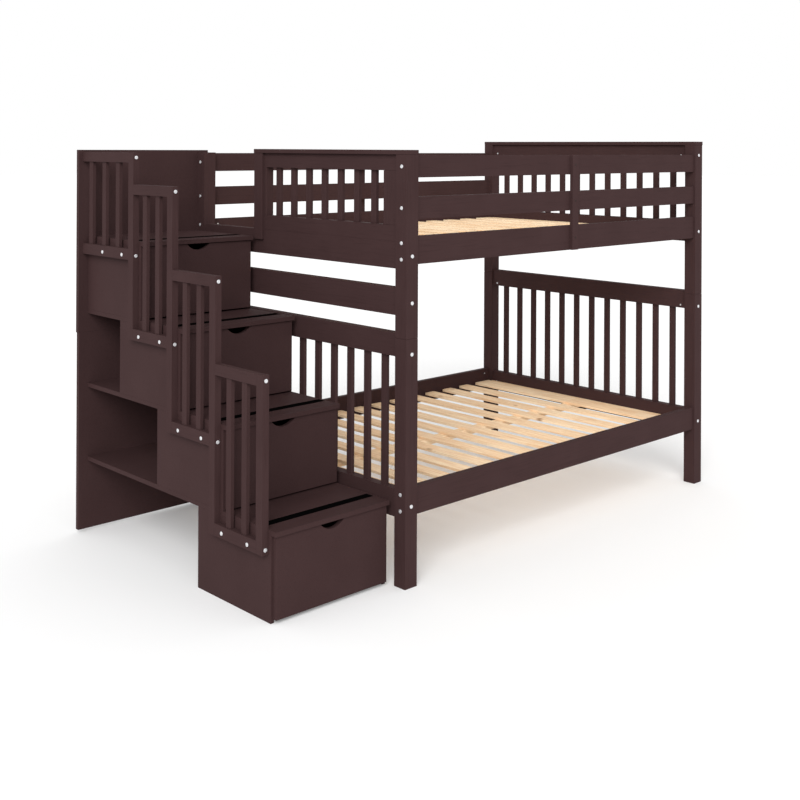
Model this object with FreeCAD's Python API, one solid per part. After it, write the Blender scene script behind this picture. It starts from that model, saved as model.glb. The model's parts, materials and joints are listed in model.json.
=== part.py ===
"""Bunk bed with storage stairs, in millimetres.

Two full beds stand one over the other on four post stacks.  A staircase of four stacked
drawer cabinets leads up along the foot end.  While it is built, X = 0 is the outer face of
the foot posts and +X runs to the headboard, Y = 0 is the front face of the front posts and
+Y runs to the wall, and Z = 0 is the floor.  On export everything moves so that the origin
lies on the floor, under the middle of the whole bed.
"""
import FreeCAD, Part
import math
import os

V = FreeCAD.Vector
ALONG_X = V(1, 0, 0)
ALONG_Y = V(0, 1, 0)
ALONG_Z = V(0, 0, 1)

# Overall frame
bed_length = 2054.4
bed_width = 1460.0
post_size = 62.2
lower_post_height = 957.0
head_post_rise = 46.0
post_end_chamfer = 1.5

# Caps over the posts and end panels, which stand out all round but on the side of the beds
foot_cap_thickness = 18.0
head_cap_thickness = 18.0
cap_overhang = 1.5

# Long rails, which run along X between the posts
side_rail_setback = 9.5
side_rail_thickness = 28.0
side_rail_height = 109.0
lower_side_rail_bottom = 274.5
upper_side_rail_bottom = 1241.5

# Guard rails along both long sides, and the upright outside them that ties them together
guard_rail_height = 86.0
guard_rail_drop = 3.0
guard_rail_gap = 74.0
low_guard_gap = 66.5
guard_support_width = 42.0
guard_support_thickness = 15.5
guard_support_offset = 6.0

# End panels, whose rails run along Y between the posts, and whose top rails in the lower bed
# start this far below the seam of the posts
end_rail_thickness = 38.0
head_bottom_rail_bottom = 262.0
head_bottom_rail_height = 109.0
head_top_rail_drop = 77.0
head_top_rail_height = 91.0
foot_bottom_rail_bottom = 262.0
foot_bottom_rail_height = 107.0
foot_top_rail_drop = 74.0
foot_top_rail_height = 90.5
upper_head_rail_drop = 18.5
upper_head_rail_height = 104.0
upper_head_top_rail_height = 109.0
foot_end_rail_drop = 18.1
foot_end_rail_height = 106.1
foot_middle_board_height = 106.4
foot_middle_board_drop = 2.35

# Balusters of the bed's end panels
baluster_width = 30.9
baluster_thickness = 15.9
baluster_pitch = 105.0
bed_baluster_count = 12
tenon_depth = 10.0
joint_clearance = 0.2

# Guard panel over the foot end, which stops short of the way in from the stairs
entry_post_lead = 73.5
entry_post_width = 60.0
entry_post_thickness = 50.0
entry_post_lap = 45.0
foot_guard_bottom_rail_height = 62.0
foot_guard_top_rail_height = 62.5
foot_guard_front_stile_width = 85.0
foot_guard_rear_stile_width = 17.0

# Slatted decks
ledge_width = 25.0
ledge_height = 29.0
slat_width = 70.0
slat_thickness = 12.0
slat_count = 14
slat_end_gap = 60.0
slat_side_gap = 3.0
slat_corner = 6.0
closing_slat_gap = 2.0
closing_slat_width = 130.7
beam_width = 50.0
beam_height = 26.0
beam_end_gap = 1.0
beam_block_width = 82.0
beam_block_length = 24.0
beam_seat_height = 14.0
beam_cheek_height = 12.0

# Stair cabinets, each one step high and set back one step from the one below
stair_gap_to_bed = 10.0
cabinet_width = 543.0
cabinet_front = 104.0
cabinet_depth = 468.7
last_cabinet_depth = 448.5
first_tread_top = 330.0
last_tread_lift = 57.5
step_count = 4
board_thickness = 18.0
cabinet_side_thickness = 15.0
cabinet_bottom_height = 20.0

# Treads
tread_overhang = 28.0
tread_end_gap = 2.0
strip_setback = 84.0
strip_width = 40.0
strip_thickness = 1.0
strip_end_margin = 26.0

# Panels against the wall behind the stairs, with pockets for the heads of the bed's bolts
back_panel_thickness = 22.0
back_panel_split = 877.0
lower_back_panel_bottom = 14.0
upper_back_panel_rise = 11.0
upper_back_panel_reach = 45.0
lower_back_panel_reach = 41.0
head_pocket_clearance = 0.5
back_panel_lap = 60.0

# Drawers
drawer_front_thickness = 20.0
drawer_front_margin = 10.0
drawer_top_gap = 2.0
drawer_bottom_gap = 7.5
drawer_box_depth = 425.0
drawer_box_height = 205.0
drawer_box_lift = 24.0
drawer_side_thickness = 15.0
drawer_side_gap = 4.0
drawer_bottom_thickness = 6.0
drawer_bottom_lift = 12.0
drawer_groove_depth = 6.0
finger_notch_width = 112.0
finger_notch_depth = 26.0
finger_notch_offset = 7.0

# Wooden runners on the cabinet sides, in grooves along the drawer sides
runner_height = 16.0
runner_lift = 96.0
runner_groove_depth = 7.0
runner_top_clearance = 0.5
runner_side_clearance = 1.0
runner_end_margin = 12.0

# Guards on the open side of the stairs
guard_thickness = 27.0
guard_post_width = 40.0
guard_post_front = 119.0
guard_rise_excess = 3.7
stair_rail_bottom = 242.5
stair_rail_height = 46.0
stair_rail_bolt_lift = 19.0
stair_top_rail_bottom = 841.0
stair_top_rail_height = 41.5
last_top_rail_drop = 40.0
stair_baluster_width = 31.0
stair_baluster_thickness = 16.0
last_baluster_gap = 84.0

# Fasteners
bolt_head_radius = 7.5
bolt_head_height = 2.0
bolt_radius = 3.0
bolt_hole_clearance = 0.4
bolt_reach = 35.0
nut_depth = 32.0
nut_radius = 5.0
nut_face_margin = 7.0
pin_radius = 5.0
pin_length = 90.0
screw_head_radius = 4.5
screw_head_height = 1.0
screw_radius = 2.2
screw_depth = 20.0

# Flat faces round a head, a nut or pin, and a shank, which stand in for their round sides
head_faces = 12
nut_faces = 6
shank_faces = 4

# Bolts through the posts: how far they lie from the bed's long sides, and above the bottom of
# the rail that they hold
side_bolt_setback = 28.5
side_bolt_lifts = (20.5, 83.5)
end_bolt_lift = 51.0
top_rail_bolt_lift = 14.5
upper_top_rail_bolt_lift = 57.5

# Bolts through a guard's bottom rail into the cabinet, behind the guard's post
stair_rail_bolt_places = (52.0, 215.0)

# Places worked out from the sizes above
post_middle = post_size / 2
rear = bed_width
side_rail_inner = side_rail_setback + side_rail_thickness
end_rail_outer = post_middle - end_rail_thickness / 2
end_rail_inner = post_middle + end_rail_thickness / 2
baluster_outer = post_middle - baluster_thickness / 2
cabinet_right = -stair_gap_to_bed
cabinet_left = cabinet_right - cabinet_width
cabinet_inner_left = cabinet_left + cabinet_side_thickness
cabinet_inner_right = cabinet_right - cabinet_side_thickness
guard_outer = cabinet_left - guard_thickness
step_run = (rear - cabinet_front - last_cabinet_depth) / (step_count - 1)
entry_post_front = rear - last_cabinet_depth - entry_post_lead

# Heights worked out from the seam of the posts and the level of the upper bed
head_top_rail_bottom = lower_post_height - head_top_rail_drop
foot_top_rail_bottom = lower_post_height - foot_top_rail_drop
guard_low_rail_bottom = upper_side_rail_bottom + side_rail_height + low_guard_gap
guard_top_rail_bottom = guard_low_rail_bottom + guard_rail_height + guard_rail_gap
foot_post_top = guard_top_rail_bottom + guard_rail_height + guard_rail_drop
head_post_top = foot_post_top + head_post_rise
upper_head_rail_bottom = upper_side_rail_bottom - upper_head_rail_drop
foot_end_rail_bottom = upper_side_rail_bottom - foot_end_rail_drop
footboard_top = foot_top_rail_bottom + foot_top_rail_height
foot_middle_board_bottom = ((footboard_top + foot_end_rail_bottom - foot_middle_board_height) / 2
                            - foot_middle_board_drop)
step_rise = (upper_side_rail_bottom + last_tread_lift - first_tread_top) / (step_count - 1)
guard_rise = step_rise + guard_rise_excess
last_top_rail_bottom = foot_post_top - last_top_rail_drop
upper_back_panel_top = foot_post_top + upper_back_panel_rise
drawer_front_height = step_rise - board_thickness - drawer_top_gap - drawer_bottom_gap
upper_head_top_rail_bottom = head_post_top - upper_head_top_rail_height
foot_guard_top_rail_bottom = foot_post_top - foot_guard_top_rail_height
slat_room = bed_length - 2 * end_rail_inner - slat_end_gap - closing_slat_gap - closing_slat_width
slat_pitch = slat_room / (slat_count - 1)

nodes = {}


def board(x_span, y_span, z_span):
    """A rectangular piece of wood between two places on each axis."""
    size = [span[1] - span[0] for span in (x_span, y_span, z_span)]
    return Part.makeBox(size[0], size[1], size[2], V(x_span[0], y_span[0], z_span[0]))


def bar(start, direction, radius, length, faces):
    """A straight bar with flat faces, whose corners lie on a circle of this radius."""
    across = ALONG_Y if direction.x else ALONG_X
    up = ALONG_Y if direction.z else ALONG_Z
    turns = [2 * math.pi * (i + 0.5) / faces for i in range(faces)]
    corners = [start + across * (radius * math.cos(turn)) + up * (radius * math.sin(turn))
               for turn in turns]
    return Part.Face(Part.makePolygon(corners + corners[:1])).extrude(direction * length)


def cut(piece, tools):
    return piece.cut(Part.makeCompound(tools)) if tools else piece


def mirror_x(shape):
    """The same piece at the other end of the bed."""
    return shape.mirror(V(bed_length / 2, 0, 0), ALONG_X)


def mirror_y(shape):
    """The same piece on the other long side of the bed."""
    return shape.mirror(V(0, bed_width / 2, 0), ALONG_Y)


def add(name, *pieces):
    nodes.setdefault(name, []).extend(pieces)


# ---------------------------------------------------------------- bolts and their holes

def bolt(face, inward, reach):
    """A flat round head that stands on a face, and a shank that runs inward from it."""
    head = bar(face - inward * bolt_head_height, inward, bolt_head_radius, bolt_head_height,
               head_faces)
    shank = bar(face, inward, bolt_radius, reach, shank_faces)
    return head.fuse(shank).removeSplitter()


def bolt_hole(face, inward, reach):
    """The hole for a bolt, a little wider and deeper than its shank."""
    return bar(face, inward, bolt_radius + bolt_hole_clearance, reach + bolt_hole_clearance,
               shank_faces)


def frame_joint(face, inward, to_open_face, thickness):
    """A rail's bolt through a post, and the barrel nut across the rail at the bolt's end.

    to_open_face leads from the bolt's line to the face of the rail where the nut went in.
    """
    reach = post_size + bolt_reach
    open_face = face + inward * (post_size + nut_depth) + to_open_face
    across = V(to_open_face).normalize() * -1
    length = thickness - nut_face_margin
    add("connector_bolts", bolt(face, inward, reach))
    add("barrel_nuts", bar(open_face, across, nut_radius, length, nut_faces))
    pocket = bar(open_face, across, nut_radius + joint_clearance, length + joint_clearance, nut_faces)
    return [bolt_hole(face, inward, reach), pocket]


# Every joint is drilled once, and each piece that it meets is cut with the same holes.
# The nuts of the side rails go in from the bed's side, and those of the guard rails towards +Y.
to_inner_face = ALONG_Y * (side_rail_inner - side_bolt_setback)
to_outer_face = ALONG_Y * (side_bolt_setback - side_rail_setback)
rear_bolt_line = rear - side_bolt_setback
side_bolts = [(side_bolt_setback, bottom + lift, to_inner_face)
              for bottom in (lower_side_rail_bottom, upper_side_rail_bottom)
              for lift in side_bolt_lifts]
side_bolts += [(rear_bolt_line, height, open_face * -1) for y, height, open_face in side_bolts]
for bottom in (guard_top_rail_bottom, guard_low_rail_bottom):
    middle = bottom + guard_rail_height / 2
    side_bolts += [(side_bolt_setback, middle, to_inner_face), (rear_bolt_line, middle, to_outer_face)]

side_joint_holes = []
for y, height, open_face in side_bolts:
    for face, inward in ((0, ALONG_X), (bed_length, ALONG_X * -1)):
        side_joint_holes += frame_joint(V(face, y, height), inward, open_face, side_rail_thickness)

foot_bolt_heights = (foot_bottom_rail_bottom + end_bolt_lift,
                     foot_top_rail_bottom + top_rail_bolt_lift,
                     foot_middle_board_bottom + end_bolt_lift,
                     foot_end_rail_bottom + end_bolt_lift)
head_bolt_heights = (head_bottom_rail_bottom + end_bolt_lift,
                     head_top_rail_bottom + top_rail_bolt_lift,
                     upper_head_rail_bottom + end_bolt_lift,
                     upper_head_top_rail_bottom + upper_top_rail_bolt_lift)
end_joint_holes = []
for x, heights, to_bed in ((post_middle, foot_bolt_heights, ALONG_X),
                           (bed_length - post_middle, head_bolt_heights, ALONG_X * -1)):
    open_face = to_bed * (end_rail_thickness / 2)
    for height in heights:
        for face, inward in ((0, ALONG_Y), (rear, ALONG_Y * -1)):
            end_joint_holes += frame_joint(V(x, face, height), inward, open_face, end_rail_thickness)


def near(holes, piece):
    """The holes whose box meets the box of a piece."""
    box = piece.BoundBox
    return [hole for hole in holes if hole.BoundBox.intersect(box)]


def drilled(piece, *more):
    """A piece cut by each frame joint that runs into it, and by any further tools."""
    return cut(piece, near(side_joint_holes + end_joint_holes, piece) + list(more))


# ---------------------------------------------------------------- posts

def post(x, y, bottom, top, pin_height, seam):
    """A square post with its seam end eased, drilled for its pin and bolts."""
    piece = board((x, x + post_size), (y, y + post_size), (bottom, top))
    seam_edges = [edge for edge in piece.Edges
                  if abs(edge.BoundBox.ZMin - seam) < joint_clearance
                  and abs(edge.BoundBox.ZMax - seam) < joint_clearance]
    piece = piece.makeChamfer(post_end_chamfer, seam_edges)
    middle = V(x + post_middle, y + post_middle, pin_height - pin_length / 2)
    return drilled(piece, bar(middle, ALONG_Z, pin_radius + joint_clearance, pin_length, nut_faces))


for end, x, top in (("foot", 0, foot_post_top), ("head", bed_length - post_size, head_post_top)):
    for side, y in (("front", 0), ("rear", rear - post_size)):
        seam = lower_post_height
        add("lower_post_" + side + "_" + end, post(x, y, 0, seam, seam, seam))
        add("upper_post_" + side + "_" + end, post(x, y, seam, top, seam, seam))
        pin_foot = V(x + post_middle, y + post_middle, seam - pin_length / 2 + joint_clearance)
        add("post_joining_pins",
            bar(pin_foot, ALONG_Z, pin_radius, pin_length - 2 * joint_clearance, nut_faces))


# ---------------------------------------------------------------- end panels

def baluster_places(count, middle, pitch):
    return [middle + (i - (count - 1) / 2) * pitch for i in range(count)]


def end_balusters(places, bottom, top, outer):
    """Upright slats with a tenon at each end that goes into the rail."""
    return [board((outer, outer + baluster_thickness),
                  (y - baluster_width / 2, y + baluster_width / 2),
                  (bottom - tenon_depth, top + tenon_depth)) for y in places]


def mortises(places, bottom, top, outer):
    """The pockets for the tenons of end_balusters, clear of them all round."""
    grow = joint_clearance
    return [board((outer - grow, outer + baluster_thickness + grow),
                  (y - baluster_width / 2 - grow, y + baluster_width / 2 + grow),
                  (bottom - tenon_depth - grow, top + tenon_depth + grow)) for y in places]


def end_rail(bottom, height, pockets):
    y_span = (post_size, rear - post_size)
    piece = board((end_rail_outer, end_rail_inner), y_span, (bottom, bottom + height))
    return piece, pockets


def end_panel(names, rails, at_head):
    """Two rails between the posts and the balusters between them."""
    (low_bottom, low_height), (top_bottom, top_height) = rails
    places = baluster_places(bed_baluster_count, bed_width / 2, baluster_pitch)
    low_top = low_bottom + low_height
    pockets = mortises(places, low_top, top_bottom, baluster_outer)
    balusters = end_balusters(places, low_top, top_bottom, baluster_outer)
    for name, bottom, height in ((names[0], low_bottom, low_height), (names[1], top_bottom, top_height)):
        piece, tools = end_rail(bottom, height, pockets)
        piece = cut(piece, tools)
        add(name, drilled(mirror_x(piece) if at_head else piece))
    add(names[2], *[mirror_x(piece) if at_head else piece for piece in balusters])


end_panel(("footboard_bottom_rail", "footboard_top_rail", "footboard_balusters"),
          ((foot_bottom_rail_bottom, foot_bottom_rail_height),
           (foot_top_rail_bottom, foot_top_rail_height)), False)
end_panel(("headboard_bottom_rail", "headboard_top_rail", "headboard_balusters"),
          ((head_bottom_rail_bottom, head_bottom_rail_height),
           (head_top_rail_bottom, head_top_rail_height)), True)
end_panel(("upper_headboard_bottom_rail", "upper_headboard_top_rail", "upper_headboard_balusters"),
          ((upper_head_rail_bottom, upper_head_rail_height),
           (upper_head_top_rail_bottom, upper_head_top_rail_height)), True)

add("upper_headboard_cap",
    board((bed_length - post_size, bed_length + cap_overhang),
          (-cap_overhang, rear + cap_overhang),
          (head_post_top, head_post_top + head_cap_thickness)))

for name, bottom, height in (("foot_end_rail", foot_end_rail_bottom, foot_end_rail_height),
                             ("foot_middle_board", foot_middle_board_bottom, foot_middle_board_height)):
    add(name, drilled(end_rail(bottom, height, [])[0]))


# ---------------------------------------------------------------- guard over the foot end

entry_post_rear = entry_post_front + entry_post_width
guard_sill = foot_end_rail_bottom + foot_end_rail_height
guard_opening_bottom = guard_sill + foot_guard_bottom_rail_height
guard_opening_front = post_size + foot_guard_front_stile_width
guard_opening_rear = entry_post_front - foot_guard_rear_stile_width
guard_opening_length = guard_opening_rear - guard_opening_front
foot_guard_baluster_count = int((guard_opening_length - baluster_width) / baluster_pitch)
guard_places = baluster_places(foot_guard_baluster_count,
                               (guard_opening_front + guard_opening_rear) / 2, baluster_pitch)
guard_pockets = mortises(guard_places, guard_opening_bottom, foot_guard_top_rail_bottom, baluster_outer)
guard_rail_span = (post_size, entry_post_front)
end_rail_span = (end_rail_outer, end_rail_inner)

add("foot_guard_bottom_rail",
    cut(board(end_rail_span, guard_rail_span, (guard_sill, guard_opening_bottom)), guard_pockets))
add("foot_guard_top_rail",
    cut(board(end_rail_span, guard_rail_span, (foot_guard_top_rail_bottom, foot_post_top)),
        guard_pockets))
add("foot_guard_balusters",
    *end_balusters(guard_places, guard_opening_bottom, foot_guard_top_rail_bottom, baluster_outer))
for near_y, far_y in ((post_size, post_size + foot_guard_front_stile_width),
                      (entry_post_front - foot_guard_rear_stile_width, entry_post_front)):
    add("foot_guard_stiles", board(end_rail_span, (near_y, far_y),
                                   (guard_opening_bottom, foot_guard_top_rail_bottom)))

entry_post_span = (entry_post_front, entry_post_rear)
entry_post_body = board((0, entry_post_thickness), entry_post_span, (guard_sill, foot_post_top))
entry_post_tongue = board((0, end_rail_outer), entry_post_span, (guard_sill - entry_post_lap, guard_sill))
add("foot_guard_entry_post", entry_post_body.fuse(entry_post_tongue).removeSplitter())
add("foot_guard_cap",
    board((-cap_overhang, post_size), (-cap_overhang, entry_post_rear + cap_overhang),
          (foot_post_top, foot_post_top + foot_cap_thickness)))


# ---------------------------------------------------------------- long rails and guards

def long_board(bottom, height):
    """A board along the front, between the posts."""
    return board((post_size, bed_length - post_size),
                 (side_rail_setback, side_rail_inner), (bottom, bottom + height))


support_middle = bed_length / 2 - guard_support_offset
support_outer = side_rail_setback - guard_support_thickness
guard_rail_bottoms = (guard_top_rail_bottom, guard_low_rail_bottom)
guard_support = board((support_middle - guard_support_width / 2, support_middle + guard_support_width / 2),
                      (support_outer, side_rail_setback),
                      (upper_side_rail_bottom, guard_top_rail_bottom + guard_rail_height))
support_screw_heights = [upper_side_rail_bottom + side_rail_height / 2]
support_screw_heights += [bottom + guard_rail_height / 2 for bottom in guard_rail_bottoms]


def screw_shank(height, clearance):
    """The shank of a screw through the guard support into a rail, or its hole if wider."""
    length = guard_support_thickness + screw_depth + clearance
    return bar(V(support_middle, support_outer, height), ALONG_Y, screw_radius + clearance, length,
               shank_faces)


def support_screw(height):
    """A screw with its flat head on the face of the guard support."""
    face = V(support_middle, support_outer, height)
    head = bar(face - ALONG_Y * screw_head_height, ALONG_Y, screw_head_radius, screw_head_height,
               head_faces)
    return head.fuse(screw_shank(height, 0)).removeSplitter()


support_holes = [screw_shank(height, joint_clearance) for height in support_screw_heights]
for level, bottom in (("lower", lower_side_rail_bottom), ("upper", upper_side_rail_bottom)):
    rail = long_board(bottom, side_rail_height)
    rail = cut(rail, near(support_holes, rail))
    add(level + "_side_rails", drilled(rail), drilled(mirror_y(rail)))
for bottom in guard_rail_bottoms:
    rail = cut(long_board(bottom, guard_rail_height), support_holes)
    add("guard_rails", drilled(rail), drilled(mirror_y(rail)))
guard_support = cut(guard_support, support_holes)
add("guard_supports", guard_support, mirror_y(guard_support))
screws = [support_screw(height) for height in support_screw_heights]
add("guard_screws", *screws, *[mirror_y(screw) for screw in screws])


# ---------------------------------------------------------------- slatted decks

def slat(x_span, y_span, bottom):
    """A flat slat along Y with its four corners clipped."""
    (x0, x1), (y0, y1), c = x_span, y_span, slat_corner
    outline = [(x0 + c, y0), (x1 - c, y0), (x1, y0 + c), (x1, y1 - c),
               (x1 - c, y1), (x0 + c, y1), (x0, y1 - c), (x0, y0 + c)]
    points = [V(x, y, bottom) for x, y in outline]
    face = Part.Face(Part.makePolygon(points + points[:1]))
    return face.extrude(ALONG_Z * slat_thickness)


# The slat at the headboard is notched round both posts.
post_notch = board((bed_length - post_size - closing_slat_gap, bed_length),
                   (0, post_size + closing_slat_gap), (0, head_post_top))
post_notches = [post_notch, mirror_y(post_notch)]


def deck(level, rail_bottom):
    """The ledges on the side rails, the slats across them and the beam under their middle."""
    seat = rail_bottom + ledge_height
    ledge = board((post_size, bed_length - post_size), (side_rail_inner, side_rail_inner + ledge_width),
                  (rail_bottom, seat))
    add("slat_ledges", ledge, mirror_y(ledge))
    y_span = (side_rail_inner + slat_side_gap, rear - side_rail_inner - slat_side_gap)
    x_starts = [end_rail_inner + slat_end_gap + i * slat_pitch for i in range(slat_count)]
    add(level + "_slats", *[slat((x, x + slat_width), y_span, seat) for x in x_starts[:-1]])
    closing_end = bed_length - end_rail_inner - closing_slat_gap
    closing_slat = slat((x_starts[-1], closing_end), y_span, seat)
    add(level + "_slats", cut(closing_slat, post_notches))
    middle = bed_width / 2
    half_beam = beam_width / 2
    half_block = beam_block_width / 2
    beam_bottom = seat - beam_height
    x_span = (end_rail_inner + beam_end_gap, bed_length - end_rail_inner - beam_end_gap)
    add("centre_beams", board(x_span, (middle - half_beam, middle + half_beam), (beam_bottom, seat)))
    block_span = (end_rail_inner, end_rail_inner + beam_block_length)
    block = board(block_span, (middle - half_block, middle + half_block),
                  (beam_bottom - beam_seat_height, beam_bottom + beam_cheek_height))
    trough = board(block_span, (middle - half_beam - joint_clearance, middle + half_beam + joint_clearance),
                   (beam_bottom, seat))
    block = block.cut(trough)
    add("beam_blocks", block, mirror_x(block))


deck("lower", lower_side_rail_bottom)
deck("upper", upper_side_rail_bottom)


# ---------------------------------------------------------------- stair cabinets

def tread_top(step):
    return first_tread_top + step * step_rise


def cabinet_span(step):
    """The front and rear of a cabinet; the last one ends at the wall panel."""
    front = cabinet_front + step * step_run
    return front, min(front + cabinet_depth, rear)


def cabinet_floor(step):
    return 0 if step == 0 else tread_top(step - 1)


def guard_post_y(step):
    return guard_post_front + step * step_run


def guard_section(step):
    """Where the rails of a guard section start and end: at its post, and the next or the panel."""
    start = guard_post_y(step) + guard_post_width
    end = rear if step == step_count - 1 else guard_post_y(step + 1)
    return start, end


def guard_rails_bottoms(step):
    """The undersides of a guard section's bottom and top rails; the last one is less tall."""
    last = step == step_count - 1
    return (stair_rail_bottom + step * guard_rise,
            last_top_rail_bottom if last else stair_top_rail_bottom + step * guard_rise)


guard_bolt_middle = guard_outer + guard_thickness / 2
cabinet_bolt_holes = []
guard_end_holes = []
for step in range(step_count):
    start = guard_section(step)[0]
    low_bottom, top_bottom = guard_rails_bottoms(step)
    low_bolt_height = low_bottom + stair_rail_bolt_lift
    for place in stair_rail_bolt_places:
        face = V(guard_outer, start + place, low_bolt_height)
        reach = guard_thickness + cabinet_side_thickness - joint_clearance
        add("connector_bolts", bolt(face, ALONG_X, reach))
        cabinet_bolt_holes.append(bolt_hole(face, ALONG_X, reach))
    for height in (low_bolt_height, top_bottom + stair_top_rail_height / 2):
        face = V(guard_bolt_middle, guard_post_y(step), height)
        reach = guard_post_width + bolt_reach
        add("connector_bolts", bolt(face, ALONG_Y, reach))
        guard_end_holes.append(bolt_hole(face, ALONG_Y, reach))

for step in range(step_count):
    front, back = cabinet_span(step)
    floor = cabinet_floor(step)
    ceiling = tread_top(step) - board_thickness
    for x_span in ((cabinet_left, cabinet_inner_left), (cabinet_inner_right, cabinet_right)):
        side = board(x_span, (front, back), (floor, ceiling))
        add("cabinet_sides", cut(side, near(cabinet_bolt_holes, side)))
    inner_span = (cabinet_inner_left, cabinet_inner_right)
    add("cabinet_backs", board(inner_span, (back - cabinet_side_thickness, back), (floor, ceiling)))
    add("stair_treads",
        board((cabinet_left, cabinet_right - tread_end_gap), (front - tread_overhang, back),
              (ceiling, tread_top(step))))
    strip_front = front - tread_overhang + strip_setback
    add("anti_slip_strips",
        board((cabinet_left + strip_end_margin, cabinet_right - strip_end_margin / 2),
              (strip_front, strip_front + strip_width),
              (tread_top(step), tread_top(step) + strip_thickness)))
    if step < step_count - 1:
        add("stair_shelves",
            board((cabinet_left, cabinet_right - tread_end_gap), (back, rear),
                  (ceiling, tread_top(step))))

first_front, first_back = cabinet_span(0)
add("cabinet_bottom",
    board((cabinet_inner_left, cabinet_inner_right), (first_front, first_back - cabinet_side_thickness),
          (cabinet_bottom_height, cabinet_bottom_height + cabinet_side_thickness)))

panel_span = (rear, rear + back_panel_thickness)
head_pockets = [bar(V(post_middle, rear, height), ALONG_Y, bolt_head_radius + head_pocket_clearance,
                    bolt_head_height + head_pocket_clearance, head_faces)
                for height in foot_bolt_heights]
for name, reach, z_span in (
        ("lower_back_panel", lower_back_panel_reach, (lower_back_panel_bottom, back_panel_split)),
        ("upper_back_panel", upper_back_panel_reach, (back_panel_split, upper_back_panel_top))):
    panel = board((cabinet_left - reach, back_panel_lap), panel_span, z_span)
    add(name, cut(panel, near(head_pockets, panel)))


# ---------------------------------------------------------------- guards along the stairs

# A guard post also takes the rear ends of the rails of the section in front of it.
guard_span = (guard_outer, cabinet_left)
stair_baluster_outer = guard_outer + (guard_thickness - stair_baluster_thickness) / 2
for step in range(step_count):
    last = step == step_count - 1
    start, end = guard_section(step)
    low_bottom, top_bottom = guard_rails_bottoms(step)
    low_top = low_bottom + stair_rail_height
    top_top = top_bottom + stair_top_rail_height
    count = 3 if last else 2
    gap = (end - start - count * stair_baluster_width) / (count + 1)
    if last:
        gap = last_baluster_gap
    y_starts = [start + gap + i * (gap + stair_baluster_width) for i in range(count)]
    thickness_span = (stair_baluster_outer, stair_baluster_outer + stair_baluster_thickness)
    balusters = [board(thickness_span, (y, y + stair_baluster_width),
                       (low_top - tenon_depth, top_bottom + tenon_depth)) for y in y_starts]
    grow = joint_clearance
    pockets = [board((thickness_span[0] - grow, thickness_span[1] + grow),
                     (y - grow, y + stair_baluster_width + grow),
                     (low_top - tenon_depth - grow, top_bottom + tenon_depth + grow))
               for y in y_starts]
    holes = cabinet_bolt_holes + guard_end_holes
    post_y = guard_post_y(step)
    post_bottom = guard_rails_bottoms(step - 1)[0] if step > 0 else low_bottom
    guard_post = board(guard_span, (post_y, post_y + guard_post_width), (post_bottom, top_top))
    low_rail = board(guard_span, (start, end), (low_bottom, low_top))
    top_rail = board(guard_span, (start, end), (top_bottom, top_top))
    add("stair_guard_posts", cut(guard_post, near(holes, guard_post)))
    add("stair_guard_bottom_rails", cut(low_rail, near(holes, low_rail) + pockets))
    add("stair_guard_top_rails", cut(top_rail, near(holes, top_rail) + pockets))
    add("stair_guard_balusters", *balusters)


# ---------------------------------------------------------------- drawers and their runners

def notch(x_middle, top, y_span):
    """A shallow half-moon cut down from the top edge: the lower cap of a circle."""
    half = finger_notch_width / 2
    radius = (half ** 2 + finger_notch_depth ** 2) / (2 * finger_notch_depth)
    middle = V(x_middle, y_span[0], top - finger_notch_depth + radius)
    return Part.makeCylinder(radius, y_span[1] - y_span[0], middle, ALONG_Y)


for step in range(step_count):
    front, back = cabinet_span(step)
    front_top = tread_top(step) - board_thickness - drawer_top_gap
    front_bottom = front_top - drawer_front_height
    box_bottom = front_bottom + drawer_box_lift
    box_top = box_bottom + drawer_box_height
    x_left = cabinet_inner_left + drawer_side_gap
    x_right = cabinet_inner_right - drawer_side_gap
    face_span = (front - drawer_front_thickness, front)
    face = board((cabinet_left + drawer_front_margin, cabinet_right - drawer_front_margin),
                 face_span, (front_bottom, front_top))
    middle = (cabinet_left + cabinet_right) / 2 - finger_notch_offset
    name = "drawer_" + str(step + 1)
    add(name + "_front", face.cut(notch(middle, front_top, face_span)))

    box_end = min(front + drawer_box_depth, back - cabinet_side_thickness - runner_end_margin)
    floor_bottom = box_bottom + drawer_bottom_lift
    runner_bottom = box_bottom + runner_lift
    groove_span = (runner_bottom - runner_side_clearance,
                   runner_bottom + runner_height + runner_top_clearance)
    floor_left = x_left + drawer_side_thickness - drawer_groove_depth
    floor_right = x_right - drawer_side_thickness + drawer_groove_depth
    floor_span = (floor_bottom, floor_bottom + drawer_bottom_thickness)
    floor = board((floor_left, floor_right), (front, box_end), floor_span)
    for outer, inner in ((x_left, x_left + drawer_side_thickness),
                         (x_right, x_right - drawer_side_thickness)):
        inward = 1 if inner > outer else -1
        side = board((min(outer, inner), max(outer, inner)), (front, box_end), (box_bottom, box_top))
        groove_end = outer + inward * runner_groove_depth
        groove = board((min(outer, groove_end), max(outer, groove_end)), (front, box_end), groove_span)
        add(name + "_box", side.cut(groove).cut(floor))
        wall = cabinet_inner_left if inward > 0 else cabinet_inner_right
        tip = groove_end - inward * runner_side_clearance
        add("drawer_runners",
            board((min(wall, tip), max(wall, tip)),
                  (front + runner_side_clearance, back - cabinet_side_thickness - runner_end_margin),
                  (runner_bottom, runner_bottom + runner_height)))
    add(name + "_box",
        board((x_left + drawer_side_thickness, x_right - drawer_side_thickness),
              (box_end - drawer_side_thickness, box_end),
              (floor_bottom + drawer_bottom_thickness, box_top)),
        floor)


# ---------------------------------------------------------------- export

whole = Part.makeCompound([piece for pieces in nodes.values() for piece in pieces]).BoundBox
origin = V((whole.XMin + whole.XMax) / 2, (whole.YMin + whole.YMax) / 2, whole.ZMin)

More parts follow.
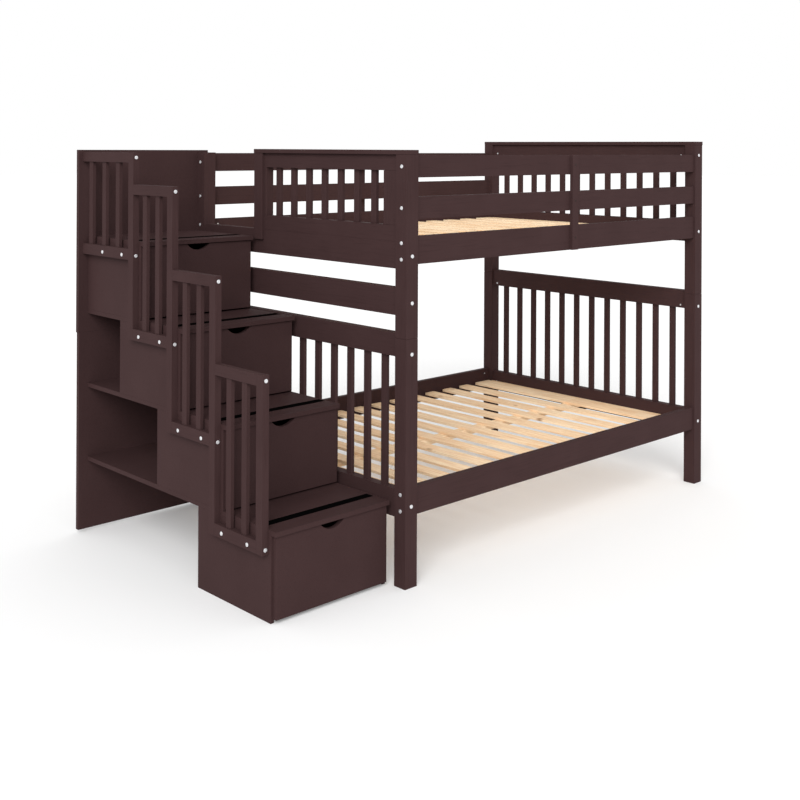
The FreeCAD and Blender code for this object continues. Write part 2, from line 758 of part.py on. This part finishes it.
os.makedirs("parts", exist_ok=True)
for name, pieces in nodes.items():
    shape = pieces[0] if len(pieces) == 1 else Part.makeCompound(pieces)
    shape.translate(origin * -1)
    shape.exportStep("parts/" + name + ".step")
print(len(nodes), "nodes,", sum(len(pieces) for pieces in nodes.values()), "pieces")
print("origin in the building frame:", [round(value, 2) for value in origin])
print("overall size:", [round(size, 1) for size in (whole.XLength, whole.YLength, whole.ZLength)])
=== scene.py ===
"""Looks of a bunk bed with storage stairs: espresso lacquer, bare pine slats, black anti-slip
strips and zinc-plated fasteners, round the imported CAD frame.  Lengths are in metres unless a
name ends in _MM or _PIXELS."""

import json
import math

import bmesh
import bpy
import numpy as np
from mathutils import Matrix, Vector

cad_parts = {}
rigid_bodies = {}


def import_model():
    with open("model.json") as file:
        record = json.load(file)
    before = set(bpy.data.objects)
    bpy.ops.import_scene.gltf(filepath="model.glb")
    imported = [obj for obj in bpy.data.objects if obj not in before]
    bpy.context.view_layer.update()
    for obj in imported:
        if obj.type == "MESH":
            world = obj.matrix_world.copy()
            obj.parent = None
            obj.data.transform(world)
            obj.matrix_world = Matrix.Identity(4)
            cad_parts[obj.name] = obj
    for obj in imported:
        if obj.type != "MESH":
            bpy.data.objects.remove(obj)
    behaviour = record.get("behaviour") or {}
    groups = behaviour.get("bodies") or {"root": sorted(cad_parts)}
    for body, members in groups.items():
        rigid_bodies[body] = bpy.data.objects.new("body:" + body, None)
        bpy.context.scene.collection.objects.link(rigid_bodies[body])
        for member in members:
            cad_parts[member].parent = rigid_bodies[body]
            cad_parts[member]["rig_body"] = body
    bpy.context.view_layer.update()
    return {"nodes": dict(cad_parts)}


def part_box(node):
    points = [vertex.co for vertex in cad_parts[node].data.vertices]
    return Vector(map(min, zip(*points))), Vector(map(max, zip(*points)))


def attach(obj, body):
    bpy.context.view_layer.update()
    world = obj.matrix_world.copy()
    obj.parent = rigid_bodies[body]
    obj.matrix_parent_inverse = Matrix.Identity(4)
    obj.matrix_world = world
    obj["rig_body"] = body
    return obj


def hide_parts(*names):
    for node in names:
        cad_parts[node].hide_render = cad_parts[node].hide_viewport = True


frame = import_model()

MM = 0.001

# The photograph's camera: its place from the floor under the front foot post's outer corner,
# where it looks, and its lens
CAMERA_FROM_FOOT_POST = (-2.95739, -3.17968, 1.69141)
CAMERA_YAW = math.radians(44.561)
CAMERA_PITCH = math.radians(0.071)
CAMERA_ROLL = math.radians(0.258)
PICTURE_SIDE_PIXELS = 800
FOCAL_LENGTH_PIXELS = 1134.843
OPTICAL_CENTRE_PIXELS = (439.324, 146.7)
SENSOR_WIDTH_MM = 36.0

# Light: an even white room, and one very soft lamp from the front left
ROOM_STRENGTH = 0.82
LAMP_STRENGTH = 2.5
LAMP_SPREAD = math.radians(35)
LAMP_FROM = (-1.0, -0.9, 0.8)
FLOOR_SIDE = 120.0
FLOOR_COLOUR = "#e6e6e6"
FLOOR_GLOW = 0.14

# Rounding of the pieces' edges
WOOD_EDGE = 1.5 * MM
PANEL_EDGE = 0.8 * MM
SLAT_EDGE = 1.3 * MM
STRIP_EDGE = 0.3 * MM
BEVEL_STEPS = 2
FLAT_ANGLE = math.radians(0.5)
EDGE_ANGLE = math.radians(30)

# Corners of the frame's triangles that are this close are one corner
WELD = 0.01 * MM

# Sizes of the patterns in the finishes.  Pores, grit and spangles are drawn several times
# coarser than the real ones, which would be too fine to see from the camera.
GRAIN_STRETCH = 0.04
KNOT_STRETCH = 0.6
PORE_WIDTH_MM = 5.0
PAINT_CLOUD_MM = 180.0
RING_WIDTH_MM = 16.0
STREAK_WIDTH_MM = 9.0
KNOT_SPACING_MM = 210.0
STAVE_LENGTH_MM = 430.0
GRIT_MM = 1.5
ZINC_SPANGLE_MM = 2.0

# Fasteners: how many sides a turned piece has, the turn from one to the next, and the width of a
# driver's slot as a share of its length
BOLT_SIDES = 30
SCREW_SIDES = 32
PIN_SIDES = 24
NEXT_TURN = 2.4
SLOT_SHARE = 0.2


# ---------------------------------------------------------------- colours and node trees

def linear(hex_colour):
    """A colour written as sRGB hex, as the linear values that shaders take."""
    values = np.array([int(hex_colour[i:i + 2], 16) for i in (1, 3, 5)]) / 255
    low = values / 12.92
    high = ((values + 0.055) / 1.055) ** 2.4
    return (*np.where(values <= 0.04045, low, high).tolist(), 1.0)


def put(tree, kind, links=None, inputs=None, **settings):
    """Adds one node: settings are its own, inputs its socket values, links what feeds it.
    A socket is given by its name or its number."""
    made = tree.nodes.new(kind)
    for name, value in settings.items():
        setattr(made, name, value)
    for socket, value in (inputs or {}).items():
        made.inputs[socket].default_value = value
    for socket, source in (links or {}).items():
        tree.links.new(source, made.inputs[socket])
    return made


def new_material(name):
    """An empty material and its node tree."""
    material = bpy.data.materials.new(name)
    material.use_nodes = True
    material.node_tree.nodes.clear()
    return material, material.node_tree


def finish(tree, links, inputs):
    """Ends a material in one surface shader."""
    surface = put(tree, "ShaderNodeBsdfPrincipled", links, inputs)
    put(tree, "ShaderNodeOutputMaterial", {"Surface": surface.outputs[0]})


# ---------------------------------------------------------------- the frame's solids

def joined(node):
    """A CAD node's loose triangles joined at their corners, solid by solid: its points, the
    triangles' corners, and the solid that each point belongs to.

    The solids are stored one after another.  Each edge is shared by two triangles, an earlier
    and a later one, so a solid ends after a triangle where no edge waits for its later one."""
    mesh = frame["nodes"][node].data
    points = np.empty(len(mesh.vertices) * 3)
    mesh.vertices.foreach_get("co", points)
    corners = np.empty(len(mesh.loops), dtype=int)
    mesh.loops.foreach_get("vertex_index", corners)
    steps = np.round(points.reshape(-1, 3)[corners] / WELD).astype(int)
    same = np.unique(steps, axis=0, return_inverse=True)[1].reshape(-1, 3)
    edges = np.sort(np.stack([same, np.roll(same, -1, axis=1)], axis=2), axis=2).reshape(-1, 2)
    triangle = np.repeat(np.arange(len(same)), 3)
    pairs = triangle[np.lexsort((triangle, edges[:, 1], edges[:, 0]))].reshape(-1, 2)
    waiting = np.zeros(len(same) + 1, dtype=int)
    np.add.at(waiting, pairs[:, 0], 1)
    np.add.at(waiting, pairs[:, 1], -1)
    ends = np.cumsum(waiting)[:-1] == 0
    solid = np.concatenate([[0], np.cumsum(ends)[:-1]])
    kept, index = np.unique(np.column_stack([steps, np.repeat(solid, 3)]), axis=0,
                            return_inverse=True)
    return kept[:, :3] * WELD, index.reshape(-1, 3), kept[:, 3]


def middles(node, axis):
    """The middles of a node's solids along one axis, in order."""
    points, _, solid = joined(node)
    clouds = [points[solid == number, axis] for number in range(solid.max() + 1)]
    return sorted((cloud.min() + cloud.max()) / 2 for cloud in clouds)


# ---------------------------------------------------------------- finishes

def espresso_lacquer(name, grain_axis):
    """Espresso lacquer sprayed in several coats over pine or board.  It gives an even, dull
    red-brown with hardly any gloss.  Along a board's length the pores show through it as fine
    shallow furrows, and the coat is a little lighter or darker from one place to the next."""
    material, tree = new_material(name)
    place = put(tree, "ShaderNodeTexCoord").outputs["Object"]
    stretch = [1.0, 1.0, 1.0]
    if grain_axis is not None:
        stretch[grain_axis] = GRAIN_STRETCH
    along = put(tree, "ShaderNodeMapping", {"Vector": place}, {"Scale": stretch}).outputs[0]
    pores = put(tree, "ShaderNodeTexNoise", {"Vector": along},
                {"Scale": 1 / (PORE_WIDTH_MM * MM), "Detail": 4.0, "Roughness": 0.6}).outputs[0]
    clouds = put(tree, "ShaderNodeTexNoise", {"Vector": place},
                 {"Scale": 1 / (PAINT_CLOUD_MM * MM), "Detail": 2.0}).outputs[0]
    coat = put(tree, "ShaderNodeMix", {0: clouds}, {6: linear("#3a2929"), 7: linear("#423030")},
               data_type="RGBA").outputs[2]
    in_pores = put(tree, "ShaderNodeMapRange", {"Value": pores},
                   {"From Min": 0.32, "From Max": 0.5, "To Min": 0.35, "To Max": 0.0}).outputs[0]
    colour = put(tree, "ShaderNodeMix", {0: in_pores, 6: coat}, {7: linear("#302121")},
                 data_type="RGBA").outputs[2]
    bump = put(tree, "ShaderNodeBump", {"Height": pores}, {"Strength": 0.12, "Distance": 0.4 * MM})
    rough = put(tree, "ShaderNodeMapRange", {"Value": pores}, {"To Min": 0.6, "To Max": 0.75})
    finish(tree, {"Base Color": colour, "Normal": bump.outputs[0], "Roughness": rough.outputs[0]},
           {"IOR": 1.5, "Specular IOR Level": 0.05})
    return material


def bare_pine(name, grain_axis, row_start, row_width):
    """Planed pine with no finish, glued up from short staves in one row for each slat.  It gives
    a pale, warm, matt surface with soft rings and streaks along the grain, small brown knots,
    and a slight change of tone from one stave to the next."""
    material, tree = new_material(name)
    place = put(tree, "ShaderNodeTexCoord").outputs["Object"]
    stretch = [1.0, 1.0, 1.0]
    stretch[grain_axis] = GRAIN_STRETCH
    along = put(tree, "ShaderNodeMapping", {"Vector": place}, {"Scale": stretch}).outputs[0]
    streaks = put(tree, "ShaderNodeTexNoise", {"Vector": along},
                  {"Scale": 1 / (STREAK_WIDTH_MM * MM), "Detail": 4.0, "Roughness": 0.6}).outputs[0]
    rings = put(tree, "ShaderNodeTexNoise", {"Vector": along},
                {"Scale": 1 / (RING_WIDTH_MM * MM), "Detail": 1.0, "Distortion": 1.5}).outputs[0]
    ring_line = put(tree, "ShaderNodeMath", {0: rings}, {1: 0.09}, operation="PINGPONG").outputs[0]
    turned = put(tree, "ShaderNodeMapping", {"Vector": place},
                 {"Location": (0.0, -row_start, 0.0),
                  "Rotation": (0.0, 0.0, math.radians(90 * grain_axis))}).outputs[0]
    staves = put(tree, "ShaderNodeTexBrick", {"Vector": turned},
                 {"Color1": (0, 0, 0, 1), "Color2": (1, 1, 1, 1), "Mortar": (0.5, 0.5, 0.5, 1),
                  "Scale": 1.0, "Mortar Size": 0.0, "Brick Width": STAVE_LENGTH_MM * MM,
                  "Row Height": row_width}).outputs["Color"]
    knot_stretch = [1.0, 1.0, 1.0]
    knot_stretch[grain_axis] = KNOT_STRETCH
    knot_place = put(tree, "ShaderNodeMapping", {"Vector": place},
                     {"Scale": knot_stretch}).outputs[0]
    knots = put(tree, "ShaderNodeTexVoronoi", {"Vector": knot_place},
                {"Scale": 1 / (KNOT_SPACING_MM * MM)}).outputs["Distance"]
    in_knot = put(tree, "ShaderNodeMapRange", {"Value": knots},
                  {"From Min": 0.025, "From Max": 0.075, "To Min": 0.8, "To Max": 0.0}).outputs[0]
    base = put(tree, "ShaderNodeMix", {0: staves}, {6: linear("#ffe8c6"), 7: linear("#fbddb7")},
               data_type="RGBA").outputs[2]
    in_streak = put(tree, "ShaderNodeMapRange", {"Value": streaks},
                    {"From Min": 0.42, "From Max": 0.72, "To Min": 0.0, "To Max": 0.75}).outputs[0]
    streaked = put(tree, "ShaderNodeMix", {0: in_streak, 6: base}, {7: linear("#d9a26c")},
                   data_type="RGBA").outputs[2]
    in_ring = put(tree, "ShaderNodeMapRange", {"Value": ring_line},
                  {"From Min": 0.0, "From Max": 0.03, "To Min": 0.35, "To Max": 0.0}).outputs[0]
    ringed = put(tree, "ShaderNodeMix", {0: in_ring, 6: streaked}, {7: linear("#dcb286")},
                 data_type="RGBA").outputs[2]
    colour = put(tree, "ShaderNodeMix", {0: in_knot, 6: ringed}, {7: linear("#8a5a34")},
                 data_type="RGBA").outputs[2]
    bump = put(tree, "ShaderNodeBump", {"Height": streaks}, {"Strength": 0.1, "Distance": 0.3 * MM})
    finish(tree, {"Base Color": colour, "Normal": bump.outputs[0]},
           {"Roughness": 0.7, "IOR": 1.5, "Specular IOR Level": 0.2})
    return material


def grit_tape():
    """Anti-slip tape: black grit in a matt binder.  It gives a dead black that glints nowhere."""
    material, tree = new_material("black_grit_tape")
    place = put(tree, "ShaderNodeTexCoord").outputs["Object"]
    grit = put(tree, "ShaderNodeTexVoronoi", {"Vector": place},
               {"Scale": 1 / (GRIT_MM * MM)}).outputs[0]
    colour = put(tree, "ShaderNodeMix", {0: grit}, {6: linear("#030303"), 7: linear("#0b0a0a")},
                 data_type="RGBA").outputs[2]
    bump = put(tree, "ShaderNodeBump", {"Height": grit}, {"Strength": 0.5, "Distance": 0.4 * MM})
    finish(tree, {"Base Color": colour, "Normal": bump.outputs[0]},
           {"Roughness": 1.0, "Specular IOR Level": 0.0})
    return material


def plated_steel(name, dull, bright):
    """Steel turned and then plated.  Bright zinc gives a near-white metal with a soft sheen and
    faint spangles, and black zinc on the wood screws a dark, matt one."""
    material, tree = new_material(name)
    place = put(tree, "ShaderNodeTexCoord").outputs["Object"]
    spangle = put(tree, "ShaderNodeTexNoise", {"Vector": place},
                  {"Scale": 1 / (ZINC_SPANGLE_MM * MM), "Detail": 2.0}).outputs[0]
    rough = put(tree, "ShaderNodeMapRange", {"Value": spangle}, {"To Min": 0.55, "To Max": 0.7})
    colour = put(tree, "ShaderNodeMix", {0: spangle}, {6: linear(dull), 7: linear(bright)},
                 data_type="RGBA").outputs[2]
    finish(tree, {"Base Color": colour, "Roughness": rough.outputs[0]}, {"Metallic": 1.0})
    return material


lacquer = {axis: espresso_lacquer("espresso_lacquer_on_pine_along_" + letter, axis)
           for axis, letter in enumerate("xyz")}
lacquer_on_board = espresso_lacquer("espresso_lacquer_on_board", None)
first_slat, second_slat = middles("lower_slats", 0)[:2]
slat_pitch = second_slat - first_slat
beam_middle = middles("centre_beams", 1)[0]
slat_pine = bare_pine("planed_pine_along_y", 1, first_slat - slat_pitch / 2, slat_pitch)
beam_pine = bare_pine("planed_pine_along_x", 0, beam_middle - slat_pitch / 2, slat_pitch)
tape = grit_tape()
bright_zinc = plated_steel("bright_zinc_plated_steel", "#dcdcde", "#efeff1")
black_zinc = plated_steel("black_zinc_plated_steel", "#3a302e", "#4a3e3b")


# ---------------------------------------------------------------- pieces with eased edges

def add_piece(mesh, node, material):
    """Puts a mesh in the scene as a piece that stands for a CAD node and rides on its body."""
    mesh.materials.append(material)
    piece = bpy.data.objects.new(node + "_finished", mesh)
    bpy.context.scene.collection.objects.link(piece)
    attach(piece, frame["nodes"][node]["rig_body"])
    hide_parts(node)
    return piece


def eased(node, width, material):
    """A copy of a CAD node with its triangles joined into faces and its edges rounded."""
    points, triangles, _ = joined(node)
    mesh = bpy.data.meshes.new(node + "_eased")
    mesh.from_pydata(points.tolist(), [], triangles.tolist())
    shape = bmesh.new()
    shape.from_mesh(mesh)
    bmesh.ops.dissolve_limit(shape, angle_limit=FLAT_ANGLE, verts=shape.verts, edges=shape.edges)
    shape.to_mesh(mesh)
    shape.free()
    mesh.shade_smooth()
    bevel = add_piece(mesh, node, material).modifiers.new("eased", "BEVEL")
    bevel.width = width
    bevel.segments = BEVEL_STEPS
    bevel.limit_method = "ANGLE"
    bevel.angle_limit = EDGE_ANGLE
    bevel.harden_normals = True


# Words in the nodes' names that tell a piece's finish, and which way its grain runs
UPRIGHT = ("post", "balusters", "stiles", "supports")
BOARDS = ("cabinet_", "lower_back_panel", "upper_back_panel", "drawer_", "stair_shelves",
          "stair_treads")
ALONG_BED = ("side_rails", "guard_rails", "slat_ledges", "beam_blocks")
TURNED = ("connector_bolts", "barrel_nuts", "guard_screws", "post_joining_pins")

for name in frame["nodes"]:
    if name in TURNED:
        continue
    if name == "anti_slip_strips":
        eased(name, STRIP_EDGE, tape)
    elif name in ("lower_slats", "upper_slats"):
        eased(name, SLAT_EDGE, slat_pine)
    elif name == "centre_beams":
        eased(name, SLAT_EDGE, beam_pine)
    elif name.startswith(BOARDS):
        eased(name, PANEL_EDGE, lacquer_on_board)
    elif name in ("stair_guard_top_rails", "stair_guard_bottom_rails"):
        eased(name, WOOD_EDGE, lacquer[1])
    elif any(word in name for word in UPRIGHT):
        eased(name, WOOD_EDGE, lacquer[2])
    elif any(word in name for word in ALONG_BED):
        eased(name, WOOD_EDGE, lacquer[0])
    else:
        eased(name, WOOD_EDGE, lacquer[1])


# ---------------------------------------------------------------- turned fasteners

def rods(node):
    """For each rod-shaped piece of a node: the middle of its wider end, or of its low end where
    both are alike, the outward direction there, and its length."""
    points, _, solid = joined(node)
    found = []
    for number in range(solid.max() + 1):
        cloud = points[solid == number]
        low, high = cloud.min(axis=0), cloud.max(axis=0)
        middle = (low + high) / 2
        axis = int(np.argmax(high - low))
        across = np.linalg.norm(np.delete(cloud - middle, axis, axis=1), axis=1)
        wide_at = cloud[across > 0.98 * across.max(), axis].mean()
        outward = np.zeros(3)
        outward[axis] = 1.0 if wide_at > middle[axis] + 0.1 * MM else -1.0
        end = middle.copy()
        end[axis] = high[axis] if outward[axis] > 0 else low[axis]
        found.append((end, outward, high[axis] - low[axis]))
    return found


def hexagon(turn):
    """How far a hexagon reaches at each turn, as a share of its corners' reach."""
    return math.cos(math.pi / 6) / np.cos(turn % (math.pi / 3) - math.pi / 6)


def slot(turn):
    """How far a narrow ellipse reaches at each turn, as a share of its longer half."""
    return SLOT_SHARE / np.hypot(SLOT_SHARE * np.cos(turn), np.sin(turn))


def cross(turn):
    """Two narrow ellipses across each other."""
    return np.maximum(slot(turn), slot(turn + math.pi / 2))


def circle(turn):
    """A circle reaches equally far at each turn."""
    return np.ones_like(turn)


def turned_rods(node, profile, sides, material):
    """Every rod of a node as a turned piece.  The profile is a list of (radius, depth below the
    end, outline): each entry is a ring of points whose distance from the axis is the radius
    times the outline at that turn, and rings that follow each other are joined by a band of
    faces.  A depth below zero counts from the rod's far end."""
    turn = np.linspace(0, 2 * math.pi, sides, endpoint=False)
    reach = np.array([radius * outline(turn) for radius, _, outline in profile]) * MM
    depth = np.array([entry[1] for entry in profile]) * MM
    ring = np.arange(sides)
    band = np.stack([ring, np.roll(ring, -1), np.roll(ring, -1) + sides, ring + sides], axis=1)
    bands = (band[None] + sides * np.arange(len(profile) - 1)[:, None, None]).reshape(-1, 4)
    points, faces = [], []
    for number, (end, outward, length) in enumerate(rods(node)):
        side = np.cross((0.0, 0.0, 1.0), outward)
        if not side.any():
            side = np.array((1.0, 0.0, 0.0))
        rise = np.cross(outward, side)
        below = np.where(depth < 0, length + depth, depth)[:, None, None]
        # Each one stopped at its own angle when it was tightened.
        angle = turn + NEXT_TURN * number
        radial = np.cos(angle)[:, None] * side + np.sin(angle)[:, None] * rise
        first = number * len(profile) * sides
        points.append((end + reach[:, :, None] * radial[None] - below * outward).reshape(-1, 3))
        faces += (bands[:, ::-1] + first).tolist()
        faces.append((ring + first).tolist())
        faces.append((ring[::-1] + first + (len(profile) - 1) * sides).tolist())
    mesh = bpy.data.meshes.new(node + "_turned")
    mesh.from_pydata(np.concatenate(points).tolist(), [], faces)
    mesh.shade_smooth()
    mesh.set_sharp_from_angle(angle=EDGE_ANGLE)
    add_piece(mesh, node, material)


# Profiles of the fasteners in millimetres, from the middle of the end that shows, outwards and
# down the side: a flat round head with a hexagon recess, a nut with a slot in both ends, a screw
# with a cross recess and a point, and a pin with eased ends
BOLT = [(2.2, 1.3, hexagon), (2.2, 0.1, hexagon), (2.6, 0.0, circle), (6.3, 0.0, circle),
        (7.1, 0.3, circle), (7.5, 0.9, circle), (7.5, 2.0, circle), (3.0, 2.0, circle),
        (3.0, -0.5, circle), (2.5, -0.01, circle)]
NUT = [(3.4, 1.6, slot), (3.4, 0.1, slot), (3.9, 0.0, circle), (4.33, 0.4, circle),
       (4.33, -0.4, circle), (3.9, -0.01, circle), (3.4, -0.1, slot), (3.4, -1.6, slot)]
SCREW = [(2.2, 0.8, cross), (2.2, 0.0, cross), (3.6, 0.0, circle), (4.5, 0.6, circle),
         (4.5, 1.0, circle), (2.2, 1.0, circle), (2.2, -3.0, circle), (0.3, -0.01, circle)]
PIN = [(4.3, 0.0, circle), (5.0, 0.7, circle), (5.0, -0.7, circle), (4.3, -0.01, circle)]

turned_rods("connector_bolts", BOLT, BOLT_SIDES, bright_zinc)
turned_rods("barrel_nuts", NUT, BOLT_SIDES, bright_zinc)
turned_rods("guard_screws", SCREW, SCREW_SIDES, black_zinc)
turned_rods("post_joining_pins", PIN, PIN_SIDES, bright_zinc)


# ---------------------------------------------------------------- floor, light and camera

def white_floor():
    """A matt white sweep, which the camera sees as pure white where nothing shades it."""
    material, tree = new_material("matt_white_sweep")
    matt = put(tree, "ShaderNodeBsdfDiffuse", None, {"Color": linear(FLOOR_COLOUR)})
    glow = put(tree, "ShaderNodeEmission", None, {"Color": (1, 1, 1, 1), "Strength": FLOOR_GLOW})
    dark = put(tree, "ShaderNodeEmission", None, {"Strength": 0.0})
    seen = put(tree, "ShaderNodeLightPath").outputs["Is Camera Ray"]
    lift = put(tree, "ShaderNodeMixShader", {0: seen, 1: dark.outputs[0], 2: glow.outputs[0]})
    both = put(tree, "ShaderNodeAddShader", {0: matt.outputs[0], 1: lift.outputs[0]})
    put(tree, "ShaderNodeOutputMaterial", {"Surface": both.outputs[0]})
    return material


def white_room():
    """Even white light from all round, which the camera and glossy surfaces see as pure white."""
    world = bpy.data.worlds.new("studio")
    world.use_nodes = True
    tree = world.node_tree
    tree.nodes.clear()
    white = (1, 1, 1, 1)
    light = put(tree, "ShaderNodeBackground", None, {"Color": white, "Strength": ROOM_STRENGTH})
    paper = put(tree, "ShaderNodeBackground", None, {"Color": white, "Strength": 1.0})
    rays = put(tree, "ShaderNodeLightPath").outputs
    seen = put(tree, "ShaderNodeMath", {0: rays["Is Camera Ray"], 1: rays["Is Glossy Ray"]},
               operation="MAXIMUM")
    both = put(tree, "ShaderNodeMixShader",
               {0: seen.outputs[0], 1: light.outputs[0], 2: paper.outputs[0]})
    put(tree, "ShaderNodeOutputWorld", {"Surface": both.outputs[0]})
    return world


half = FLOOR_SIDE / 2
floor_mesh = bpy.data.meshes.new("floor")
floor_mesh.from_pydata([(-half, -half, 0), (half, -half, 0), (half, half, 0), (-half, half, 0)],
                       [], [(0, 1, 2, 3)])
floor_mesh.materials.append(white_floor())
floor = bpy.data.objects.new("floor", floor_mesh)
bpy.context.scene.collection.objects.link(floor)

bpy.context.scene.world = white_room()

lamp = bpy.data.lights.new("soft_lamp", "SUN")
lamp.energy = LAMP_STRENGTH
lamp.angle = LAMP_SPREAD
lamp_object = bpy.data.objects.new("soft_lamp", lamp)
lamp_object.rotation_euler = Vector(LAMP_FROM).to_track_quat("Z", "Y").to_euler()
bpy.context.scene.collection.objects.link(lamp_object)

forward = Vector((math.sin(CAMERA_YAW) * math.cos(CAMERA_PITCH),
                  math.cos(CAMERA_YAW) * math.cos(CAMERA_PITCH), math.sin(CAMERA_PITCH)))
right = Vector((math.cos(CAMERA_YAW), -math.sin(CAMERA_YAW), 0))
up = right.cross(forward)
turned_right = right * math.cos(CAMERA_ROLL) + up * math.sin(CAMERA_ROLL)
turned_up = up * math.cos(CAMERA_ROLL) - right * math.sin(CAMERA_ROLL)
lens = bpy.data.cameras.new("camera")
lens.sensor_width = SENSOR_WIDTH_MM
lens.lens = FOCAL_LENGTH_PIXELS * SENSOR_WIDTH_MM / PICTURE_SIDE_PIXELS
lens.shift_x = 0.5 - OPTICAL_CENTRE_PIXELS[0] / PICTURE_SIDE_PIXELS
lens.shift_y = OPTICAL_CENTRE_PIXELS[1] / PICTURE_SIDE_PIXELS - 0.5
camera = bpy.data.objects.new("camera", lens)
foot_corner = Vector(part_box("lower_post_front_foot")[0])
camera.matrix_world = Matrix.Translation(foot_corner + Vector(CAMERA_FROM_FOOT_POST)) @ Matrix(
    (turned_right, turned_up, -forward)).transposed().to_4x4()
bpy.context.scene.collection.objects.link(camera)
bpy.context.scene.camera = camera
bpy.context.scene.view_settings.view_transform = "Standard"
